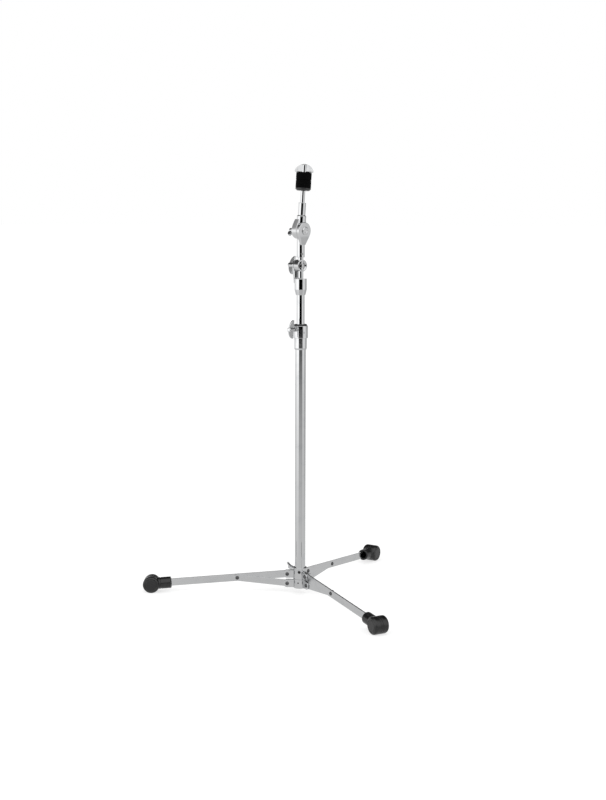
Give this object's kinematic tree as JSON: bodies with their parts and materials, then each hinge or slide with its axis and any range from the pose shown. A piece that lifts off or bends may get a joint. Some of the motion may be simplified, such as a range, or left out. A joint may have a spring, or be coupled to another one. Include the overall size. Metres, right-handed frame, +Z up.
{
  "type": "boom cymbal stand",
  "caption": "Small chromed cymbal stand: folding flat-leg tripod with rubber feet, sliding upper tube, short boom clamp and a tilting felt-padded cymbal seat.",
  "frame": {"origin": "on the floor, under the middle of the stand's bounding box", "axes": "+Z up along the column; one leg points along -X; the column stands at X = 0.0883 m, Y = 0"},
  "size_m": [0.585, 0.6736, 1.0261],
  "materials": {
    "chrome": "bright chrome plate",
    "steel": "bright zinc-plated steel",
    "rubber": "matt black moulded rubber",
    "nylon": "satin black nylon",
    "felt": "pressed black felt"
  },
  "bodies": {
    "column": {"base_tube": "chrome", "tube_end_cap": "nylon", "lower_hub": "chrome", "lower_hub_rivet": "steel", "strut_pin_left": "steel", "strut_pin_front": "steel", "strut_pin_rear": "steel", "height_clamp": "chrome", "clamp_bush": "nylon", "clamp_rivet": "steel"},
    "hub_collar": {"upper_hub": "chrome", "hub_plug": "nylon", "leg_pin_left": "steel", "leg_pin_front": "steel", "leg_pin_rear": "steel"},
    "left_leg": {"leg_left": "chrome", "foot_left": "rubber", "mid_rivet_left": "steel"},
    "front_leg": {"leg_front": "chrome", "foot_front": "rubber", "mid_rivet_front": "steel"},
    "rear_leg": {"leg_rear": "chrome", "foot_rear": "rubber", "mid_rivet_rear": "steel"},
    "left_strut": {"strut_left": "chrome", "mid_rivet_cap_left": "steel"},
    "front_strut": {"strut_front": "chrome", "mid_rivet_cap_front": "steel"},
    "rear_strut": {"strut_rear": "chrome", "mid_rivet_cap_rear": "steel"},
    "base_pad": {"base_clamp_pad": "nylon"},
    "base_screw": {"base_wing_screw": "chrome"},
    "height_pad": {"height_clamp_pad": "nylon"},
    "height_screw": {"height_wing_screw": "chrome"},
    "glide": {"glide_bush": "nylon"},
    "mast": {"upper_tube": "chrome", "boom_clamp_base": "chrome"},
    "boom_block": {"boom_clamp_block": "chrome", "boom_eye_bolt": "steel"},
    "boom_bolt_washer": {"boom_washer": "steel"},
    "boom_nut": {"boom_wing_nut": "chrome"},
    "boom": {"boom_arm": "chrome", "arm_grub_screw": "steel", "tilter_lower": "chrome", "tilter_bolt": "steel"},
    "tilter_bolt_washer": {"tilter_washer": "steel"},
    "tilter_nut": {"tilter_wing_nut": "chrome"},
    "tilter_head": {"tilter_upper": "chrome", "cymbal_post": "chrome", "seat_cup": "nylon", "cymbal_sleeve": "nylon"},
    "bottom_felt": {"lower_felt": "felt"},
    "top_felt": {"upper_felt": "felt"},
    "top_nut": {"top_wing_nut": "chrome"}
  },
  "joints": [
    {"name": "hub_slide", "type": "slide", "parent": "column", "child": "hub_collar", "axis": [0, 0, 1], "range_m": [0, 0.218]},
    {"name": "left_leg_fold", "type": "hinge", "parent": "hub_collar", "child": "left_leg", "pos_m": [0.05729, 0, 0.0475], "axis": [0, -1, 0], "range_deg": [0, 77.1]},
    {"name": "front_leg_fold", "type": "hinge", "parent": "hub_collar", "child": "front_leg", "pos_m": [0.10379, -0.02685, 0.0475], "axis": [0.866, 0.5, 0], "range_deg": [0, 77.1]},
    {"name": "rear_leg_fold", "type": "hinge", "parent": "hub_collar", "child": "rear_leg", "pos_m": [0.10379, 0.02685, 0.0475], "axis": [-0.866, 0.5, 0], "range_deg": [0, 77.1]},
    {"name": "left_strut_fold", "type": "hinge", "parent": "column", "child": "left_strut", "pos_m": [0.05729, -0.00355, 0.025], "axis": [0, 1, 0], "range_deg": [0, 76.25]},
    {"name": "front_strut_fold", "type": "hinge", "parent": "column", "child": "front_strut", "pos_m": [0.10686, -0.02507, 0.025], "axis": [-0.866, -0.5, 0], "range_deg": [0, 76.25]},
    {"name": "rear_strut_fold", "type": "hinge", "parent": "column", "child": "rear_strut", "pos_m": [0.10071, 0.02862, 0.025], "axis": [0.866, -0.5, 0], "range_deg": [0, 76.25]},
    {"name": "base_pad_travel", "type": "slide", "parent": "hub_collar", "child": "base_pad", "axis": [-0.5, 0.866, 0], "range_m": [0, 0.002]},
    {"name": "base_screw_turn", "type": "hinge", "parent": "base_pad", "child": "base_screw", "pos_m": [0.07029, 0.03118, 0.0525], "axis": [-0.5, 0.866, 0], "range_deg": [0, 720.1]},
    {"name": "height_pad_travel", "type": "slide", "parent": "column", "child": "height_pad", "axis": [-0.5299, -0.848, 0], "range_m": [0, 0.002]},
    {"name": "height_screw_turn", "type": "hinge", "parent": "height_pad", "child": "height_screw", "pos_m": [0.07133, -0.02714, 0.6438], "axis": [-0.5299, -0.848, 0], "range_deg": [0, 720.1]},
    {"name": "height_slide", "type": "slide", "parent": "column", "child": "glide", "axis": [0, 0, 1], "range_m": [-0.066, 0.225]},
    {"name": "mast_swivel", "type": "hinge", "parent": "glide", "child": "mast", "pos_m": [0.08829, 0, 0.6], "axis": [0, 0, 1], "continuous": true},
    {"name": "boom_tilt", "type": "hinge", "parent": "mast", "child": "boom_block", "pos_m": [0.08829, 0, 0.791], "axis": [-0.6428, 0.766, 0], "range_deg": [-95, 95]},
    {"name": "boom_washer_travel", "type": "slide", "parent": "boom_block", "child": "boom_bolt_washer", "axis": [-0.6428, 0.766, 0], "range_m": [0, 0.002]},
    {"name": "boom_nut_turn", "type": "hinge", "parent": "boom_bolt_washer", "child": "boom_nut", "pos_m": [0.08829, 0, 0.791], "axis": [-0.6428, 0.766, 0], "range_deg": [0, 720.1]},
    {"name": "boom_slide", "type": "slide", "parent": "boom_block", "child": "boom", "axis": [0, 0, 1], "range_m": [0, 0.02]},
    {"name": "tilter_tilt", "type": "hinge", "parent": "boom", "child": "tilter_head", "pos_m": [0.08829, 0, 0.8725], "axis": [0.7193, -0.6947, 0], "range_deg": [-80, 80]},
    {"name": "tilter_washer_travel", "type": "slide", "parent": "boom", "child": "tilter_bolt_washer", "axis": [-0.7193, 0.6947, 0], "range_m": [0, 0.002]},
    {"name": "tilter_nut_turn", "type": "hinge", "parent": "tilter_bolt_washer", "child": "tilter_nut", "pos_m": [0.08829, 0, 0.8725], "axis": [-0.7193, 0.6947, 0], "range_deg": [0, 720.1]},
    {"name": "lower_felt_spin", "type": "hinge", "parent": "tilter_head", "child": "bottom_felt", "pos_m": [0.08829, 0, 0.8725], "axis": [0.0545, 0.0564, 0.9969], "continuous": true},
    {"name": "upper_felt_lift", "type": "slide", "parent": "tilter_head", "child": "top_felt", "axis": [0.0545, 0.0564, 0.9969], "range_m": [0, 0.01]},
    {"name": "top_nut_turn", "type": "hinge", "parent": "top_felt", "child": "top_nut", "pos_m": [0.08829, 0, 0.8725], "axis": [0.0545, 0.0564, 0.9969], "range_deg": [0, 3600.1]}
  ],
  "couplings": [
    {"joint": "left_leg_fold", "follows": "hub_slide", "rad_per_m": 6.1708},
    {"joint": "front_leg_fold", "follows": "hub_slide", "rad_per_m": 6.1708},
    {"joint": "rear_leg_fold", "follows": "hub_slide", "rad_per_m": 6.1708},
    {"joint": "left_strut_fold", "follows": "hub_slide", "rad_per_m": 6.099},
    {"joint": "front_strut_fold", "follows": "hub_slide", "rad_per_m": 6.099},
    {"joint": "rear_strut_fold", "follows": "hub_slide", "rad_per_m": 6.099},
    {"joint": "base_screw_turn", "follows": "base_pad_travel", "rad_per_m": 6283.2},
    {"joint": "height_screw_turn", "follows": "height_pad_travel", "rad_per_m": 6283.2},
    {"joint": "boom_nut_turn", "follows": "boom_washer_travel", "rad_per_m": 6283.2},
    {"joint": "tilter_nut_turn", "follows": "tilter_washer_travel", "rad_per_m": 6283.2},
    {"joint": "top_nut_turn", "follows": "upper_felt_lift", "rad_per_m": 6283.2}
  ]
}
